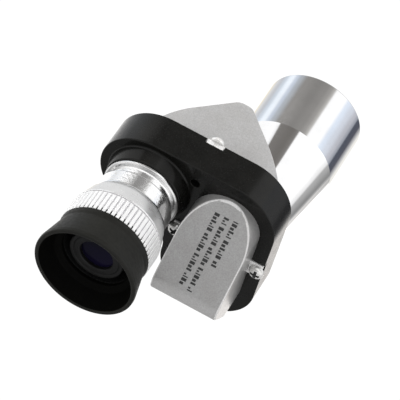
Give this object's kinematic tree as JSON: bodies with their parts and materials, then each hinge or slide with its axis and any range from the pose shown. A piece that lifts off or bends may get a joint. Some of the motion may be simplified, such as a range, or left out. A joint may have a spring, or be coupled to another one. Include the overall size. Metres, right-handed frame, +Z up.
{
  "type": "corner prism monocular",
  "caption": "Pocket monocular with an L-shaped prism body, offset objective barrel and a screw-focusing eyepiece.",
  "frame": {"origin": "centre of the objective's front rim, on the objective axis", "axes": "+Y out of the objective along the line of sight, +Z up, +X to the right for someone looking through the eyepiece"},
  "size_m": [0.047, 0.095, 0.0468],
  "materials": {
    "black_plate": "semi-gloss black paint over die-cast metal",
    "cover_silver": "satin silver paint",
    "screw_steel": "bright nickel plate",
    "prism_glass": "polished optical glass",
    "clip_bronze": "bare spring bronze",
    "barrel_aluminium": "turned and polished",
    "coated_glass": "coated optical glass",
    "black_anodised": "matt black anodised",
    "sleeve_chrome": "polished bright metal",
    "ring_chrome": "bright plated, polished body and ribbed grip",
    "eye_glass": "coated eye lens with a deep blue reflection",
    "pin_steel": "ground steel",
    "eyecup_rubber": "matt black soft rubber"
  },
  "bodies": {
    "body": {"prism_plate": "black_plate", "objective_side_cover": "cover_silver", "eyepiece_side_cover": "cover_silver", "cover_screws": "screw_steel", "objective_side_prism": "prism_glass", "eyepiece_side_prism": "prism_glass", "objective_side_clip": "clip_bronze", "eyepiece_side_clip": "clip_bronze", "objective_barrel": "barrel_aluminium", "objective_crown_lens": "coated_glass", "objective_flint_lens": "prism_glass", "objective_baffle": "black_anodised", "objective_retaining_ring": "black_anodised", "thread_sleeve": "sleeve_chrome"},
    "lens_carrier": {"lens_tube": "black_anodised", "guide_pin": "pin_steel", "field_stop": "black_anodised", "field_lens": "prism_glass", "lens_spacer": "black_anodised", "eye_crown_lens": "prism_glass", "eye_flint_lens": "eye_glass", "eye_retaining_ring": "black_anodised"},
    "focus_ring_body": {"focus_ring": "ring_chrome", "thrust_collar": "black_anodised", "rubber_eyecup": "eyecup_rubber"}
  },
  "joints": [
    {"name": "eyepiece_travel", "type": "slide", "parent": "body", "child": "lens_carrier", "axis": [0, -1, 0], "range_m": [-0.0021, 0.0041]},
    {"name": "focus_turn", "type": "hinge", "parent": "lens_carrier", "child": "focus_ring_body", "pos_m": [-0.0208, -0.082, 0.0208], "axis": [0, -1, 0], "range_deg": [-90, 180]}
  ],
  "couplings": [
    {"joint": "eyepiece_travel", "follows": "focus_turn", "m_per_rad": 0.0012732}
  ]
}
